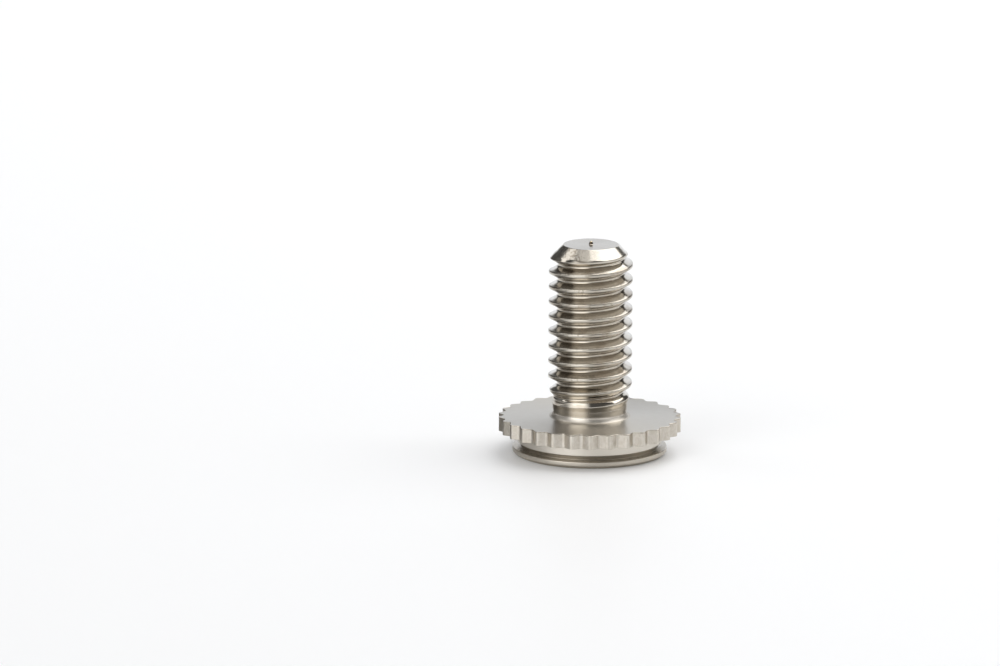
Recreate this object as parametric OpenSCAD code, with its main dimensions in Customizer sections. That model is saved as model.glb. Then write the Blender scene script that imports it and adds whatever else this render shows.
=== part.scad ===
// Self-clinching screw with a knurled press-in flange and a metric machine thread.
// It stands on its pilot disc, with the thread pointing up.
// The origin is the centre of the disc's flat underside.

/* [Pilot disc] */
// Diameter of the disc that enters the sheet's hole
disc_d = 7.15; // [6.8:0.05:7.8]
// Height of the disc's rim
disc_h = 0.32; // [0.2:0.02:0.6]
// Width of the bevel around the disc's lower edge
disc_bevel = 0.12; // [0.04:0.02:0.14]

/* [Clinch groove] */
// Depth of the groove that the sheet metal flows into, below the disc's rim
groove_depth = 0.4; // [0.4:0.05:0.9]
// How much wider the groove's floor is under the collar than at the disc, as the floor leans out
groove_lean = 0.06; // [0:0.01:0.08]
// Height of the groove
groove_h = 0.22; // [0.14:0.02:0.46]
// How far the collar above the groove stands back from the disc's rim
collar_step = 0.25; // [0.1:0.05:0.3]
// Height of the collar
collar_h = 0.52; // [0.3:0.02:0.9]

/* [Knurled flange] */
// Diameter over the tips of the teeth
flange_d = 8.45; // [8:0.05:10.2]
// Thickness of the flange
flange_t = 0.66; // [0.45:0.03:1.2]
// Number of teeth around the flange
tooth_count = 30; // [20:1:40]
// Depth of a tooth, from its tip to the root beside it
tooth_depth = 0.25; // [0.1:0.05:0.4]
// Width of the flat at a tooth's tip, and of the flat between two teeth
tooth_flat = 0.1; // [0.05:0.01:0.16]
// Turn of the first tooth about the axis, in degrees
tooth_turn = 6; // [0:1:18]

/* [Shank] */
// Length from the flange's upper face to the end face
shank_h = 8.1; // [4:0.1:20]
// How far the neck's waist, just above its fillet, stands back from the blank
waist_step = 0.03; // [0.01:0.01:0.3]
// Radius of the fillet between the neck and the flange
neck_fillet = 0.3; // [0.1:0.05:0.35]
// Length of the plain neck, from the flange to where the first ridge begins to rise
neck_h = 0.5; // [0.5:0.05:2]
// Diameter of the flat end face
end_d = 2.55; // [1.6:0.05:3]
// Height of the chamfer between the end face and the blank
chamfer_h = 0.45; // [0.3:0.05:0.9]
// Diameter at the foot of the small pip that parting off leaves on the end face
pip_d = 0.22; // [0.1:0.02:0.4]
// Diameter at the top of the pip
pip_top_d = 0.12; // [0.04:0.02:0.3]
// Height of the pip
pip_h = 0.14; // [0.04:0.02:0.3]

/* [Thread] */
// Diameter over the thread's crests
thread_d = 3.85; // [3.7:0.01:4]
// Depth of the thread, from its crests to its roots
thread_depth = 0.355; // [0.3:0.005:0.4]
// How far the crests stand out of the blank that the thread is rolled on
crest_rise = 0.2; // [0.1:0.01:0.25]
// Pitch of the thread
thread_pitch = 0.7; // [0.65:0.05:1]
// Angle between the two flanks of a ridge, in degrees
flank_angle = 60; // [50:1:62]
// Width of the flat along a crest
crest_flat = 0.12; // [0.06:0.01:0.14]
// Height at which a crest passes the +X side, counted from the end of the plain neck
thread_rise = 0.37; // [0:0.01:0.7]
// Height over which the ridges rise to their full size, counted from the end of the plain neck
ridge_run = 1.1; // [0.4:0.05:2]
// Length of unbroken blank below the groove, counted from the end of the plain neck
groove_start = 0.25; // [0.1:0.05:1]
// Height over which the groove between the ridges sinks to its full depth
groove_run = 0.35; // [0.2:0.05:1.4]
// Height below the chamfer over which the last ridge falls away to the blank
lead_run = 0.3; // [0.1:0.05:0.8]

/* [Hidden] */
$fn = 96;

groove_d = disc_d - 2 * groove_depth;
collar_d = disc_d - 2 * collar_step;
blank_d = thread_d - 2 * crest_rise;
thread_root_d = thread_d - 2 * thread_depth;
groove_z = disc_h;
collar_z = groove_z + groove_h;
flange_z = collar_z + collar_h;
shank_z = flange_z + flange_t;
thread_z = shank_z + neck_h;
end_z = shank_z + shank_h;

// A closed skin makes the threaded length. Its points stand in columns around the axis. In each column
// they climb the thread's profile, one row to each edge of it, and a column starts a little higher than
// the one before, so that the last column meets the first one pitch up.
thread_sides = 48;
flank_w = thread_depth * tan(flank_angle / 2);
// Each flank has a point where it crosses the blank, which stays there while the ridge is still low.
blank_w = crest_rise * tan(flank_angle / 2);
half_profile = [
    [crest_flat / 2, thread_d / 2],
    [crest_flat / 2 + blank_w, blank_d / 2],
    [crest_flat / 2 + flank_w, thread_root_d / 2]
];
profile = concat([for (k = [2 : -1 : 0]) [-half_profile[k][0], half_profile[k][1]]], half_profile);
edges = len(profile);
// The skin starts inside the neck, and leaves it through the neck's upper face just inside the rim.
seat_depth = 0.1;
rim_step = 0.02;
blank_r = blank_d / 2 - rim_step;
skin_z = thread_z - seat_depth;
turns_below = 2;
turns = turns_below + ceil((end_z - thread_z) / thread_pitch) + 2;
rows = turns * edges;
// Rows this close to an end of the skin are merged with it.
merge_gap = 0.004;

function climb(i, j) =
    thread_z + thread_rise + profile[j % edges][0]
    + thread_pitch * (floor(j / edges) - turns_below + i / thread_sides);
function share(z, start, run) = max(0, min(1, (z - start) / run));
function lead_r(z) =
    let (chamfer_z = end_z - chamfer_h)
    z > chamfer_z
        ? end_d / 2 + (end_z - z) / chamfer_h * (blank_d - end_d) / 2
        : blank_d / 2 + (chamfer_z - z) / lead_run * (thread_d - blank_d) / 2;
// A crest rises from the blank and a root sinks into it, each over its own height.
function grown_r(z, r) =
    let (start = thread_z + rim_step)
    let (rise = share(z, start, ridge_run), sink = share(z, start + groove_start, groove_run))
    blank_r + (r - blank_r) * (r > blank_r ? rise : sink);
function skin_r(z, r) = min(lead_r(z), grown_r(z, r));
function skin_point(i, j) =
    let (z = climb(i, j), level = z < skin_z + merge_gap ? skin_z : z > end_z - merge_gap ? end_z : z)
    let (r = skin_r(level, profile[j % edges][1]), turn = 360 * i / thread_sides)
    [r * cos(turn), r * sin(turn), level];
// The lowest and the highest row that each column keeps
low_row = [for (i = [0 : thread_sides - 1])
    max([for (j = [0 : rows]) if (climb(i, j) < skin_z + merge_gap) j])];
high_row = [for (i = [0 : thread_sides - 1])
    min([for (j = [0 : rows]) if (climb(i, j) > end_z - merge_gap) j])];
function corner(i, j) =
    i == thread_sides ? corner(0, j + edges)
    : i * (rows + 1) + max(low_row[i], min(high_row[i], j));

// The disc, the groove above it and the collar, turned in one pass
module pilot() {
    rotate_extrude()
        polygon([
            [0, 0],
            [disc_d / 2 - disc_bevel, 0],
            [disc_d / 2, disc_bevel],
            [disc_d / 2, groove_z],
            [groove_d / 2, groove_z],
            [groove_d / 2 + groove_lean, collar_z],
            [collar_d / 2, collar_z],
            [collar_d / 2, flange_z],
            [0, flange_z]
        ]);
}

// The flange with its straight V-shaped teeth, which bite into the rim of the sheet's hole
module flange() {
    pitch = 360 / tooth_count;
    tip_r = flange_d / 2;
    root_r = tip_r - tooth_depth;
    tip_turn = atan(tooth_flat / 2 / tip_r);
    root_turn = pitch / 2 - atan(tooth_flat / 2 / root_r);
    tooth = [[tip_r, -tip_turn], [tip_r, tip_turn], [root_r, root_turn], [root_r, pitch - root_turn]];
    translate([0, 0, flange_z])
        linear_extrude(flange_t)
            polygon([
                for (k = [0 : tooth_count - 1], point = tooth)
                    let (turn = tooth_turn + k * pitch + point[1])
                    point[0] * [cos(turn), sin(turn)]
            ]);
}

// The plain neck, which narrows to a waist above the fillet at its foot
module neck() {
    waist_r = blank_d / 2 - waist_step;
    foot_r = waist_r + neck_fillet;
    translate([0, 0, shank_z])
        rotate_extrude() {
            polygon([
                [0, 0],
                [waist_r, 0],
                [waist_r, neck_fillet],
                [blank_d / 2, neck_h - seat_depth],
                [blank_d / 2, neck_h],
                [0, neck_h]
            ]);
            difference() {
                translate([waist_r - rim_step, 0])
                    square([neck_fillet + rim_step, neck_fillet]);
                translate([foot_r, neck_fillet])
                    circle(r = neck_fillet);
            }
        }
}

// The rolled thread, with its run-out at the neck and the chamfered blank at the end
module thread() {
    points = [for (i = [0 : thread_sides - 1], j = [0 : rows]) skin_point(i, j)];
    centres = [[0, 0, skin_z], [0, 0, end_z]];
    quads = [
        for (i = [0 : thread_sides - 1], j = [0 : rows - 1])
            [corner(i, j), corner(i, j + 1), corner(i + 1, j + 1), corner(i + 1, j)]
    ];
    sides = [
        for (q = quads, half = [[q[0], q[1], q[2]], [q[0], q[2], q[3]]])
            if (half[0] != half[1] && half[1] != half[2] && half[2] != half[0]) half
    ];
    foot = [for (i = [0 : thread_sides - 1]) [len(points), corner(i, 0), corner(i + 1, 0)]];
    end = [for (i = [0 : thread_sides - 1]) [len(points) + 1, corner(i + 1, rows), corner(i, rows)]];
    polyhedron(points = concat(points, centres), faces = concat(sides, foot, end));
}

// The pip left in the middle of the end face
module pip() {
    translate([0, 0, end_z])
        cylinder(d1 = pip_d, d2 = pip_top_d, h = pip_h);
}

module screw() {
    color([0.72, 0.71, 0.67]) {
        pilot();
        flange();
        neck();
        thread();
        pip();
    }
}

screw();
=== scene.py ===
import math

import bpy
import numpy as np
from mathutils import Matrix, Vector


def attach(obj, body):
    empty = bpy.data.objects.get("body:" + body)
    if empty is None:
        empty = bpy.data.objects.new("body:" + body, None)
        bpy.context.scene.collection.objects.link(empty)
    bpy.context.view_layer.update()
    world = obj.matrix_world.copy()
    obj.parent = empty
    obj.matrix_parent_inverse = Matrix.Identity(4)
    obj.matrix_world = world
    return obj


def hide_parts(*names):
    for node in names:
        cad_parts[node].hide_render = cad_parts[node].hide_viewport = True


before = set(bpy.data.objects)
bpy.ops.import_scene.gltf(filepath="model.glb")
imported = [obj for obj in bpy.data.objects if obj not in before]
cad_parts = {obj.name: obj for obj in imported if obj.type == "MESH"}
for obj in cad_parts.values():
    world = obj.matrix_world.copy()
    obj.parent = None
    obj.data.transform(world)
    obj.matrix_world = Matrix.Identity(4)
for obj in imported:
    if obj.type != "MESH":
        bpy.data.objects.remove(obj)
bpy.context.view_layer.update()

scene = bpy.context.scene
scene.view_settings.view_transform = "Standard"
mm = 0.001


# ---------------------------------------------------------------------------------------------
# The screw is one piece of stainless steel. Its head is turned: a pilot disc, a clinch groove,
# a collar and a thin flange, whose rim is then knurled. The shank is a plain blank with a
# chamfered end, and its thread is rolled, so the ridges rise out of the blank at the neck.
# ---------------------------------------------------------------------------------------------

disc_r = 3.575 * mm
disc_h = 0.32 * mm
disc_bevel = 0.12 * mm
groove_r = disc_r - 0.4 * mm
groove_lean = 0.06 * mm
groove_h = 0.22 * mm
collar_r = disc_r - 0.25 * mm
collar_h = 0.52 * mm

flange_r = 4.222 * mm
flange_t = 0.66 * mm
tooth_count = 30
tooth_depth = 0.25 * mm
tooth_turn = math.radians(6)
burr_h = 0.022 * mm
burr_w = 0.07 * mm

shank_h = 8.1 * mm
blank_r = 1.725 * mm
waist_r = 1.695 * mm
neck_fillet = 0.3 * mm
fillet_w = 0.17 * mm
neck_h = 0.5 * mm
neck_band = 0.1 * mm
end_r = 1.275 * mm
chamfer_h = 0.45 * mm
pip_r = 0.11 * mm
pip_top_r = 0.06 * mm
pip_h = 0.14 * mm

thread_r = 1.945 * mm
root_round = 0.09 * mm
thread_pitch = 0.7 * mm
flank_angle = math.radians(60)
crest_flat = 0.12 * mm
crest_trim = 0.035 * mm
thread_rise = 0.37 * mm
ridge_run = 1.1 * mm
groove_start = 0.36 * mm
groove_run = 0.3 * mm
lead_run = 0.3 * mm

groove_z = disc_h
collar_z = groove_z + groove_h
flange_z = collar_z + collar_h
shank_z = flange_z + flange_t
thread_z = shank_z + neck_h
end_z = shank_z + shank_h

# Half of a tooth takes these columns of points, as shares of the pitch from the middle of its tip.
HALF_TOOTH = np.array([0, 0.035, 0.058, 0.081, 0.12, 0.25, 0.38, 0.419, 0.442, 0.465])
TOOTH_COLUMNS = np.concatenate([HALF_TOOTH, [0.5], 1 - HALF_TOOTH[:0:-1]])
# The round shank needs fewer columns: each of its columns stands for the ones up to the next.
SHANK_COLUMNS = np.array([0, 0.12, 0.25, 0.38, 0.5, 0.62, 0.75, 0.88])
# Share of the pitch that is flat at a tip, and again at a root.
TOOTH_FLAT = 0.116


def knurl(count, columns):
    """The angle of every column of points around the axis, and how far a tooth stands out there,
    from 0 at a root to 1 at a tip. The outline is a trapezium: level over the flats, straight
    between them, and a little rounded where they meet. Sines of the nearest tip's number turn
    each tooth, and sines of the nearest root's number change the depth of each cut."""
    number = np.repeat(np.arange(count), len(columns))
    share = np.tile(columns, count)
    tip = (number + (share > 0.5)) % count
    turn = number + share + 0.03 * np.sin(2.4 * tip) * np.cos(np.pi * share) ** 2
    from_tip = np.minimum(share, 1 - share)
    line = (0.5 - TOOTH_FLAT / 2 - from_tip) / (0.5 - TOOTH_FLAT)
    ease = 0.06
    over = np.maximum(line + ease - 1, 0)
    under = np.maximum(ease - line, 0)
    out = np.clip(line, 0, 1) - np.where(line < 1, over ** 2 / ease / 4, ease / 4)
    out = out + np.where(line > 0, under ** 2 / ease / 4, ease / 4) + ease / 4
    depth = 1 - 0.06 * (1 + np.sin(1.7 * number + 0.6)) * np.sin(np.pi * share) ** 2
    return tooth_turn + 2 * np.pi * turn / count, 1 - (1 - out) * depth


def rounded(corners, trims, steps):
    """An outline whose corners are circular arcs. Each arc runs between two points that lie one
    trim away from the corner on its two sides. It is the quadratic Bezier curve over those three
    points, with the middle one weighted by the sine of half the inner angle, which makes it a
    circle. One more point on either side of an arc keeps the flats beside it flat."""
    before, corner, after = corners[:-2], corners[1:-1], corners[2:]
    back = before - corner
    ahead = after - corner
    back = back / np.linalg.norm(back, axis=-1, keepdims=True)
    ahead = ahead / np.linalg.norm(ahead, axis=-1, keepdims=True)
    inner = np.arccos(np.clip((back * ahead).sum(-1), -1, 1))[..., None]
    weight = np.sin(inner / 2)
    trim = np.asarray(trims).reshape((-1,) + (1,) * (corners.ndim - 1))
    a = corner + back * trim
    b = corner + ahead * trim
    hold = 0.6
    parts = [a + back * trim * hold]
    for s in np.linspace(0, 1, steps + 1):
        mid = 2 * weight * s * (1 - s)
        parts.append(((1 - s) ** 2 * a + mid * corner + s ** 2 * b) / ((1 - s) ** 2 + mid + s ** 2))
    parts.append(b + ahead * trim * hold)
    points = np.stack(parts, axis=1)
    return points.reshape((-1,) + corners.shape[1:])


def share_of(z, start, run):
    """How much of a run lies below z, from 0 at its start to 1 at its end."""
    return np.clip((z - start) / run, 0, 1)


def soft_min(a, b, blend):
    """The smaller of two values, with the crossing rounded over the blend."""
    near = np.clip(0.5 + 0.5 * (b - a) / blend, 0, 1)
    return b + (a - b) * near - blend * near * (1 - near)


def shank_radius(z, profile_r):
    """The rolled blank's radius at a height, for a point that lies at profile_r on the full thread.
    A crest grows out of the blank from the neck upward, and a root sinks into it further up.
    The chamfered end and the last ridge's fall cut both from above."""
    crest = share_of(z, thread_z, ridge_run)
    root = share_of(z, thread_z + groove_start, groove_run)
    root = root * root * (3 - 2 * root)
    grown = blank_r + (profile_r - blank_r) * np.where(profile_r > blank_r, crest, root)
    chamfer_z = end_z - chamfer_h
    cone = end_r + (end_z - z) / chamfer_h * (blank_r - end_r)
    fall = blank_r + (chamfer_z - z) / lead_run * (thread_r - blank_r)
    return soft_min(np.where(z > chamfer_z, cone, fall), grown, 0.02 * mm)


angle, tooth_out = knurl(tooth_count, TOOTH_COLUMNS)
column_count = len(angle)
ones = np.ones(column_count)
tooth_r = flange_r - tooth_depth * (1 - tooth_out)
burr = burr_h * np.clip(0.35 + 0.5 * np.sin(7.3 * angle) + 0.5 * np.sin(17.9 * angle + 1) * tooth_out, 0, 1)


def ring(radius, z):
    """One corner of the turned outline, carried round all columns of points."""
    return np.stack([radius * ones, z * ones], axis=-1)


head_corners = np.stack([
    ring(0, 0),
    ring(disc_r - disc_bevel, 0),
    ring(disc_r, disc_bevel),
    ring(disc_r, groove_z),
    ring(groove_r, groove_z),
    ring(groove_r + groove_lean, collar_z),
    ring(collar_r, collar_z),
    ring(collar_r, flange_z),
    ring(tooth_r, flange_z),
    ring(tooth_r, shank_z + burr),
    ring(tooth_r - burr_w, shank_z),
    ring(waist_r + fillet_w, shank_z),
])
head_trims = np.array([0.04, 0.05, 0.035, 0.04, 0.03, 0.03, 0.03, 0.02, 0.015, 0.02]) * mm
head = rounded(head_corners, head_trims, 3)
sweep = np.linspace(0, np.pi / 2, 11)[:, None]
fillet_r = waist_r + fillet_w * (1 - np.sin(sweep)) * ones
fillet_z = shank_z + neck_fillet * (1 - np.cos(sweep)) * ones
fillet = np.stack([fillet_r, fillet_z], axis=-1)
neck = np.stack([
    ring(waist_r, shank_z + neck_fillet),
    ring(waist_r + (blank_r - waist_r) / 2, (shank_z + neck_fillet + thread_z - neck_band) / 2),
    ring(blank_r, thread_z - neck_band),
])
pole = ring(0, 0)[None]
head_rows = np.concatenate([pole, head])
neck_rows = np.concatenate([fillet[:-1], neck[1:]])

flank_slope = math.tan(flank_angle / 2)
vee_r = thread_r - (thread_pitch - crest_flat) / 2 / flank_slope
ridge_corners = np.array([
    [crest_flat / 2 - thread_pitch, thread_r],
    [-thread_pitch / 2, vee_r],
    [-crest_flat / 2, thread_r],
    [crest_flat / 2, thread_r],
    [thread_pitch / 2, vee_r],
])
root_points = rounded(ridge_corners[:3], np.array([root_round / flank_slope]), 6)
crest_points = rounded(ridge_corners[1:], np.array([crest_trim, crest_trim]), 2)
blank_w = crest_flat / 2 + (thread_r - blank_r) * flank_slope
flank_points = [[-blank_w, blank_r], [blank_w, blank_r]]
ridge_points = np.concatenate([root_points, crest_points, flank_points])
ridge_points = ridge_points[np.argsort(ridge_points[:, 0])]
per_pitch = len(ridge_points)

edge = 0.03 * mm
skin_top = end_z - edge
turns_below = 3
turn_count = turns_below + math.ceil((skin_top - thread_z) / thread_pitch) + 3
climb = (np.arange(turn_count)[:, None] - turns_below) * thread_pitch + ridge_points[:, 0]
climb = climb.reshape(-1, 1) + thread_z + thread_rise + thread_pitch * angle / (2 * np.pi)
profile_r = np.tile(ridge_points[:, 1], turn_count)[:, None]
row_count = len(climb)
merge_gap = 0.004 * mm
low_row = (climb < thread_z + merge_gap).sum(axis=0) - 1
high_row = (climb < skin_top - merge_gap).sum(axis=0)
level = np.where(climb > skin_top - merge_gap, skin_top, climb)
level = np.where(climb < thread_z + merge_gap, thread_z, level)
skin_rows = np.stack([shank_radius(level, profile_r), level], axis=-1)

rim_r = end_r + edge * (blank_r - end_r) / chamfer_h
end_corners = np.stack([
    ring(rim_r, skin_top),
    ring(end_r, end_z),
    ring(pip_r, end_z),
    ring(pip_top_r, end_z + pip_h),
    ring(0, end_z + pip_h),
])
end_trims = np.array([0.02, 0.025, 0.03]) * mm
end_rows = np.concatenate([rounded(end_corners, end_trims, 4), ring(0, end_z + pip_h)[None]])


def closed_skin(name, rows, stands_for, first, last, wrap):
    """A closed mesh of rows of points that each go once round the axis. Row and column number
    each point. In a row, a column may be stood for by another one before it. In the rolled rows,
    a column keeps only the rows from its first to its last, and the seam joins the last column
    to the first one, wrap rows further up. A pole is one point. Each square between four
    neighbours is two triangles, and those with two equal corners go."""
    row_total = len(rows)
    row = np.arange(row_total)[:, None]
    low, high = (np.take_along_axis(end, stands_for, 1) for end in (first, last))
    kept = np.clip(row + 0 * stands_for, low, high)
    number = kept * column_count + stands_for
    seam = np.clip(np.arange(row_total) + wrap, first[:, 0], last[:, 0])[:, None]
    number = np.concatenate([number, seam * column_count], axis=1)
    at_pole = np.flatnonzero(rows[..., 0].max(axis=1) < 1e-9)
    number[at_pole] = number[at_pole, :1]
    a, b = number[:-1, :-1].ravel(), number[:-1, 1:].ravel()
    c, d = number[1:, 1:].ravel(), number[1:, :-1].ravel()
    faces = np.concatenate([np.stack([a, b, c], 1), np.stack([a, c, d], 1)])
    whole = (faces[:, 0] != faces[:, 1]) & (faces[:, 1] != faces[:, 2]) & (faces[:, 2] != faces[:, 0])
    used, faces = np.unique(faces[whole], return_inverse=True)
    radius, z = rows[..., 0].ravel()[used], rows[..., 1].ravel()[used]
    theta = angle[used % column_count]
    points = np.stack([radius * np.cos(theta), radius * np.sin(theta), z], axis=1)
    mesh = bpy.data.meshes.new(name)
    mesh.from_pydata(points.tolist(), [], faces.reshape(-1, 3).tolist())
    mesh.validate()
    mesh.shade_smooth()
    piece = bpy.data.objects.new(name, mesh)
    scene.collection.objects.link(piece)
    return piece


rows = np.concatenate([head_rows, neck_rows, skin_rows, end_rows])
head_count = len(head_rows)
skin_start = head_count + len(neck_rows)
row_number = np.arange(len(rows))[:, None]
in_skin = (row_number >= skin_start) & (row_number < skin_start + row_count)
first = np.where(in_skin, skin_start + low_row, row_number)
last = np.where(in_skin, skin_start + high_row, row_number)
wrap = np.where(in_skin[:, 0], per_pitch, 0)
in_tooth = np.arange(column_count) % len(TOOTH_COLUMNS)
kept_column = np.searchsorted(TOOTH_COLUMNS, SHANK_COLUMNS)
before = kept_column[np.searchsorted(kept_column, in_tooth, side="right") - 1]
shank_column = np.arange(column_count) - in_tooth + before
stands_for = np.where(row_number >= head_count, shank_column, np.arange(column_count))
screw = closed_skin("screw_body", rows, stands_for, first, last, wrap)


class Socket:
    """A shader socket that can be used in sums and products; each adds a Math node."""

    def __init__(self, tree, output):
        self.tree = tree
        self.output = output

    def math(self, operation, *others):
        values = {place: other for place, other in enumerate((self,) + others)}
        return self.tree.add("ShaderNodeMath", {"operation": operation}, values)

    def __add__(self, other):
        return self.math("ADD", other)

    def __sub__(self, other):
        return self.math("SUBTRACT", other)

    def __rsub__(self, other):
        return self * -1 + other

    def __mul__(self, other):
        return self.math("MULTIPLY", other)

    def __truediv__(self, other):
        return self.math("DIVIDE", other)

    def __abs__(self):
        return self.math("ABSOLUTE")

    __radd__ = __add__
    __rmul__ = __mul__

    def dot(self, vector):
        """The dot product of a vector socket with a fixed vector."""
        dot = {"operation": "DOT_PRODUCT"}
        return self.tree.add("ShaderNodeVectorMath", dot, {0: self, 1: vector}, "Value")

    def scaled(self, x, y, z):
        """A vector socket with its three parts stretched."""
        return self.tree.add("ShaderNodeVectorMath", {"operation": "MULTIPLY"}, {0: self, 1: (x, y, z)})

    def step(self, low, high):
        """0 below low and 1 above high, with a smooth rise between them. It falls if low is above high."""
        flip = low > high
        return self.tree.add("ShaderNodeMapRange", {"interpolation_type": "SMOOTHSTEP"}, {
            "Value": self, "From Min": min(low, high), "From Max": max(low, high),
            "To Min": float(flip), "To Max": float(not flip),
        })


class Nodes:
    """A material's or world's node tree, with one method that adds any node."""

    def __init__(self, owner):
        owner.use_nodes = True
        self.tree = owner.node_tree
        self.tree.nodes.clear()

    def add(self, kind, settings=None, values=None, out=0):
        node = self.tree.nodes.new(kind)
        for key, value in (settings or {}).items():
            setattr(node, key, value)
        for key, value in (values or {}).items():
            if isinstance(value, Socket):
                self.tree.links.new(value.output, node.inputs[key])
            else:
                node.inputs[key].default_value = value
        return Socket(self, node.outputs[out]) if len(node.outputs) else None

    def mix(self, factor, first, second):
        """A colour between two others."""
        return self.add("ShaderNodeMix", {"data_type": "RGBA"}, {0: factor, 6: first, 7: second}, out=2)


steel_colour = (0.56, 0.518, 0.45, 1)
flange_colour = (0.515, 0.48, 0.42, 1)
dull_colour = (0.64, 0.6, 0.54, 1)
# Painted shade for the clinch groove and the bevel at the bottom edge.
groove_and_bevel_shade = (0.4, 0.36, 0.3, 1)
# A painted sheen that lightens the collar.
painted_sheen_colour = (0.74, 0.7, 0.63, 1)
# Dark brown for real nicks and marks, and for painted shade on the knurl's tooth flanks.
nick_and_shade_colour = (0.22, 0.18, 0.13, 1)
stain_colour = (0.36, 0.31, 0.25, 1)
# Painted shade, for the edges of the roots and for the pip.
painted_shade_brown = (0.10, 0.075, 0.05, 1)
# A painted highlight for the top of the pip.
painted_highlight_colour = (0.8, 0.66, 0.42, 1)
lathe_line = 0.08 * mm
streak = 0.03 * mm
blotch = 0.35 * mm
stain = 0.9 * mm
flake = 0.2 * mm

steel = bpy.data.materials.new("stainless_steel")
nodes = Nodes(steel)
place = nodes.add("ShaderNodeTexCoord", out="Object")
x, y, z = (place.dot(axis) for axis in ((1, 0, 0), (0, 1, 0), (0, 0, 1)))
radius = (x * x + y * y).math("SQRT")
turn = y.math("ARCTAN2", x)

# Each of these is 1 on its own part of the screw and 0 elsewhere.
tooth_root_r = flange_r - tooth_depth
in_knurl = radius.step(3.9 * mm, 3.95 * mm) * z.step(shank_z - 0.004 * mm, shank_z - 0.02 * mm)
on_flank = radius.step(tooth_root_r, tooth_root_r + 0.04 * mm)
on_flank = in_knurl * on_flank * radius.step(flange_r - 0.02 * mm, flange_r - 0.06 * mm)
on_burr = in_knurl * z.step(shank_z - 0.06 * mm, shank_z - 0.03 * mm)
on_flange = radius.step(waist_r + fillet_w * 0.5, waist_r + fillet_w)
on_flange = on_flange * z.step(shank_z - 0.01 * mm, shank_z - 0.005 * mm)
on_foot = radius.step(waist_r + fillet_w + 0.02 * mm, waist_r + fillet_w) * z.step(shank_z - 0.01 * mm, shank_z)
on_foot = on_foot * z.step(shank_z + neck_fillet * 0.7, shank_z + neck_fillet * 0.4)
on_neck = z.step(shank_z + 0.02 * mm, shank_z + 0.1 * mm) * z.step(thread_z + 0.2 * mm, thread_z)
in_groove = z.step(groove_z - 0.01 * mm, groove_z + 0.01 * mm)
in_groove = in_groove * z.step(collar_z + 0.01 * mm, collar_z - 0.01 * mm)
on_collar = z.step(collar_z - 0.005 * mm, collar_z + 0.005 * mm)
on_collar = on_collar * z.step(flange_z + 0.01 * mm, flange_z - 0.01 * mm)
on_rim = z.step(disc_bevel, disc_bevel + 0.02 * mm) * z.step(groove_z, groove_z - 0.02 * mm)
on_bevel = z.step(disc_bevel * 1.1, disc_bevel * 0.9)
chamfer_z = end_z - chamfer_h
in_thread = z.step(thread_z - 0.1 * mm, thread_z) * z.step(chamfer_z + 0.05 * mm, chamfer_z)
on_crest = radius.step(thread_r - 0.04 * mm, thread_r - 0.02 * mm) * z.step(thread_z, thread_z + 0.1 * mm)
on_chamfer = z.step(chamfer_z, chamfer_z + 0.03 * mm) * z.step(end_z - 0.005 * mm, end_z - 0.02 * mm)
on_pip = z.step(end_z + 0.01 * mm, end_z + 0.03 * mm)
on_pip_top = z.step(end_z + pip_h - 0.02 * mm, end_z + pip_h - 0.01 * mm)

# The ridge's phase is 0 on a crest, rises over its upper flank, and passes 0.5 in the root above.
# A thin line of painted shade is laid along either edge of each root that has its full depth.
phase = ((z - thread_z - thread_rise) / thread_pitch - turn / (2 * math.pi)).math("FRACT")
root_edge_shade = phase.step(0.57, 0.6) * phase.step(0.71, 0.65) + phase.step(0.36, 0.38) * phase.step(0.41, 0.395)
root_edge_shade = root_edge_shade * z.step(thread_z + 0.5 * mm, thread_z + 0.8 * mm) * in_thread


def noise(size, stretch, detail, rough, distortion=0.0):
    """A seamless noise over the screw, with spots of about one size, stretched along Z."""
    return nodes.add("ShaderNodeTexNoise", {"noise_dimensions": "3D"}, {
        "Vector": place.scaled(1 / size, 1 / size, stretch / size),
        "Scale": 1.0, "Detail": detail, "Roughness": rough, "Distortion": distortion,
    })


# The lathe leaves rings on flat faces and lines round the walls. Both run across the outline.
outline = (radius + z * 1.37) / lathe_line
lines = nodes.add("ShaderNodeTexNoise", {"noise_dimensions": "2D"}, {
    "Vector": nodes.add("ShaderNodeCombineXYZ", values={0: outline, 1: turn * 0.6}),
    "Scale": 1.0, "Detail": 2.0, "Roughness": 0.6,
})
grain = noise(streak, 0.12, 3.0, 0.6)
cloud = noise(blotch, 1, 3.0, 0.55)
patches = noise(flake, 0.6, 4.0, 0.6, 1.2)
stains = noise(stain, 2.2, 2.0, 0.5)

# The knurl is matt, and its cutter leaves upright streaks. The groove and the collar are dull too.
line_depth = (0.35 - in_thread * 0.25) * (1 - in_knurl) * (1 - in_groove * 0.8) * 0.001
relief = lines * line_depth + (grain * 0.0012 + patches * 0.014) * in_knurl
relief = relief + (on_chamfer * 0.004 + on_neck * 0.003 + in_thread * 0.0012) * patches
bump = nodes.add("ShaderNodeBump", values={"Height": relief, "Distance": 0.001, "Strength": 1.0})
roughness = (0.2 - in_thread * 0.1 + on_flange * 0.13 + in_knurl * 0.12 + (cloud - 0.5) * 0.1
             + on_foot * 0.22 + on_collar * 0.25 + on_rim * 0.15 + in_groove * 0.17)

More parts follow.
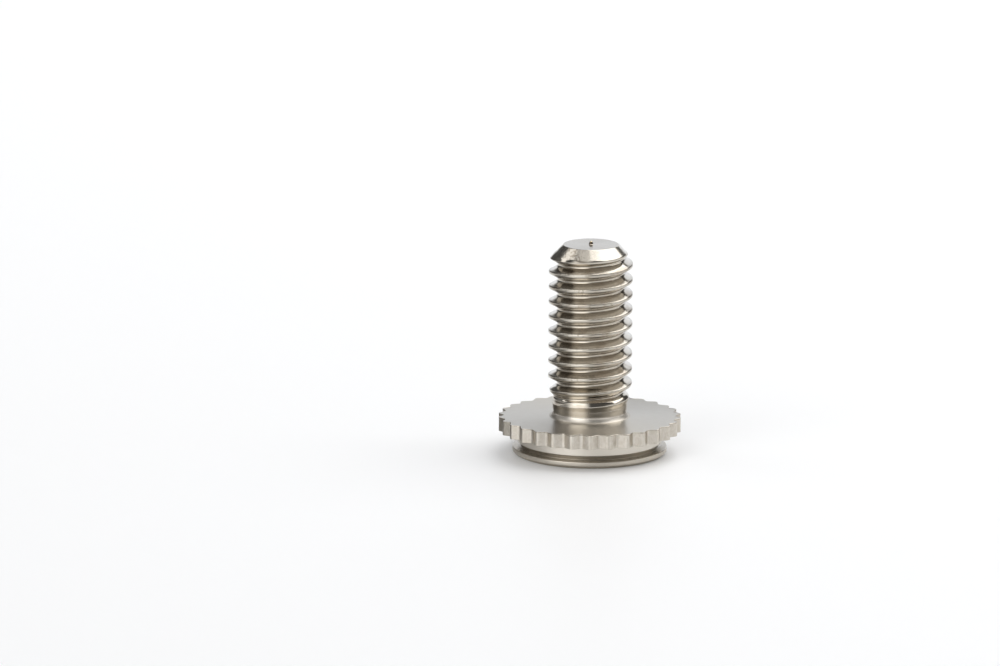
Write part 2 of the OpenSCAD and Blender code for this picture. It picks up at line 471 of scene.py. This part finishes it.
# Each line lays a colour over the ones before it, as far as its amount says.
nicks = on_crest * patches.step(0.58, 0.66)
mottle = on_chamfer * x.step(0, -0.6 * mm) * patches.step(0.5, 0.62)
colour = nodes.mix(in_knurl * patches.step(0.35, 0.65), steel_colour, dull_colour)
for amount, laid_on in (
    (on_flange, flange_colour),
    # Painted shade darkens the knurl's tooth flanks a little.
    (on_flank * 0.1, nick_and_shade_colour),
    (on_burr * patches.step(0.42, 0.55) * 0.7, nick_and_shade_colour),
    # Painted shade along the edges of the roots.
    (root_edge_shade * 0.55, painted_shade_brown),
    (on_neck * 0.7, dull_colour),
    (mottle * 0.6, nick_and_shade_colour),
    # The collar is lightened with a painted sheen.
    (on_collar, painted_sheen_colour),
    (nicks * 0.8, nick_and_shade_colour),
    (in_thread * stains.step(0.5, 0.68) * 0.6, stain_colour),
    # Painted shade darkens the groove and the bevel at the bottom edge.
    (in_groove + on_bevel, groove_and_bevel_shade),
    # The pip is painted dark for the shade on its front, and its top gets a painted highlight.
    (on_pip, painted_shade_brown),
    (on_pip_top, painted_highlight_colour),
):
    colour = nodes.mix(amount, colour, laid_on)
shader = nodes.add("ShaderNodeBsdfPrincipled", values={
    "Base Color": colour,
    "Metallic": 1.0,
    "Roughness": roughness,
    "Normal": bump,
    "Anisotropic": 0.5,
    "Anisotropic Rotation": 0.25,
})
nodes.add("ShaderNodeOutputMaterial", values={"Surface": shader})

screw.data.materials.append(steel)
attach(screw, "root")
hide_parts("screw")


# ---------------------------------------------------------------------------------------------
# The table is one wide white sheet.
# ---------------------------------------------------------------------------------------------

floor_half = 0.6
# A dark oval, a painted shadow and reflection that only mirrors show, lies where a neighbouring screw would
# darken them.
gloom_x = -0.024
gloom_y = 0.0015
gloom_reach = 0.011
gloom_core = 0.008
mesh = bpy.data.meshes.new("table")
corners = [(x * floor_half, y * floor_half, 0) for x, y in ((-1, -1), (1, -1), (1, 1), (-1, 1))]
mesh.from_pydata(corners, [], [(0, 1, 2, 3)])
table = bpy.data.objects.new("table", mesh)
scene.collection.objects.link(table)
white = bpy.data.materials.new("white_sheet")
nodes = Nodes(white)
camera_ray = nodes.add("ShaderNodeLightPath", out="Is Camera Ray")
glossy_ray = nodes.add("ShaderNodeLightPath", out="Is Glossy Ray")
clear_ray = nodes.add("ShaderNodeLightPath", out="Is Transmission Ray")
seen = (camera_ray + glossy_ray + clear_ray).math("MINIMUM", 1)
paper = nodes.add("ShaderNodeBsdfPrincipled", values={"Base Color": (0.9, 0.9, 0.9, 1), "Roughness": 0.5})
glow = nodes.add("ShaderNodeEmission", values={"Color": (1, 1, 1, 1), "Strength": 1.0})
shader = nodes.add("ShaderNodeMixShader", values={0: seen * 0.06, 1: paper, 2: glow})
place = nodes.add("ShaderNodeTexCoord", out="Object")
x, y = (place.dot(axis) for axis in ((1, 0, 0), (0, 1, 0)))
across, along = x - gloom_x, y - gloom_y
away = (across * across * 0.25 + along * along * 0.8).math("SQRT")
gloom = nodes.add("ShaderNodeEmission", values={"Color": (1, 0.93, 0.85, 1), "Strength": 0.1})
in_gloom = away.step(gloom_reach, gloom_core) * glossy_ray * 0.9
shader = nodes.add("ShaderNodeMixShader", values={0: in_gloom, 1: shader, 2: gloom})
nodes.add("ShaderNodeOutputMaterial", values={"Surface": shader})
mesh.materials.append(white)


# ---------------------------------------------------------------------------------------------
# The studio: a dim room with a white backdrop, a large softbox overhead on the right, a tall one
# in front on the left, and a small one high on the left.
# ---------------------------------------------------------------------------------------------

room_light = 0.1
side_light = 2.0
left_light = 0.25
front_light = 0.8
right_light = 0.64
ceiling_light = 0.8
backdrop_light = 0.86

world = bpy.data.worlds.new("studio")
scene.world = world
nodes = Nodes(world)
direction = nodes.add("ShaderNodeTexCoord", out="Generated")
x, y, z = (direction.dot(axis) for axis in ((1, 0, 0), (0, 1, 0), (0, 0, 1)))
around = x.math("ARCTAN2", y * -1) * (180 / math.pi)
side = around.step(-82, -48) * around.step(2, -26) * z.step(0.86, 0.76)
left = around.step(-138, -105) * around.step(-60, -80) * z.step(0.6, 0.3)
front = z.step(0.32, 0.2) * around.step(-20, 0) * around.step(80, 40)
right = around.step(28, 70) * around.step(135, 95) * z.step(0.6, 0.4)
backdrop = (around.step(150, 156) + around.step(-160, -166)) * z.step(0.54, 0.47)
ceiling = z.step(0.84, 0.92) * x.step(0.1, -0.1) * x.step(-0.55, -0.45)
light = side * side_light + left * left_light + front * front_light + right * right_light
light = light + ceiling * ceiling_light + room_light
light = light + backdrop * (abs(x).step(0.05, 0.3) * 0.25 + backdrop_light)
cool_white = nodes.mix(backdrop, (1, 1, 1, 1), (0.94, 0.98, 1.05, 1))
studio = nodes.add("ShaderNodeBackground", values={"Color": cool_white, "Strength": light})
plain = nodes.add("ShaderNodeBackground", values={"Color": (1, 1, 1, 1), "Strength": 1.0})
camera_ray = nodes.add("ShaderNodeLightPath", out="Is Camera Ray")
mixed = nodes.add("ShaderNodeMixShader", values={0: camera_ray, 1: studio, 2: plain})
nodes.add("ShaderNodeOutputWorld", values={"Surface": mixed})


def softbox(name, centre, size, radiance, aim=None):
    """A rectangular lamp that shows in reflections but not to the camera. Its power is its
    radiance times pi times its area. It faces its aim, or straight down without one."""
    lamp = bpy.data.lights.new(name, "AREA")
    lamp.shape = "RECTANGLE"
    lamp.size, lamp.size_y = size
    lamp.energy = radiance * math.pi * size[0] * size[1]
    box = bpy.data.objects.new(name, lamp)
    scene.collection.objects.link(box)
    ray = Vector((0, 0, -1)) if aim is None else Vector(aim) - Vector(centre)
    facing = Matrix.Identity(4) if aim is None else ray.to_track_quat("-Z", "Y").to_matrix().to_4x4()
    box.matrix_world = Matrix.Translation(centre) @ facing
    box.visible_camera = False


softbox("overhead_softbox", (0.42, 0.24, 0.5), (0.865, 0.725), 2.52)
softbox("small_softbox", (-0.42, 0.16, 0.5), (0.25, 0.35), 1.5, (0, 0, 0))


# ---------------------------------------------------------------------------------------------
# The camera stands half a metre away and looks a little down, through a long lens.
# ---------------------------------------------------------------------------------------------

camera_elevation = 0.22177
camera_distance = 0.505
camera_roll = 0.0059646
camera_aim = Vector((-0.00417394, 0, 0.00559806))
lens_focal_px = 10934.1
sensor_w = 36.0
image_w = 1000

lens = bpy.data.cameras.new("camera")
lens.sensor_width = sensor_w
lens.lens = lens_focal_px * sensor_w / image_w
lens.clip_start = 0.01
lens.clip_end = 10
camera = bpy.data.objects.new("camera", lens)
scene.collection.objects.link(camera)
ahead = Vector((0, math.cos(camera_elevation), -math.sin(camera_elevation)))
turned = ahead.to_track_quat("-Z", "Y").to_matrix().to_4x4() @ Matrix.Rotation(camera_roll, 4, "Z")
camera.matrix_world = Matrix.Translation(camera_aim - ahead * camera_distance) @ turned
scene.camera = camera
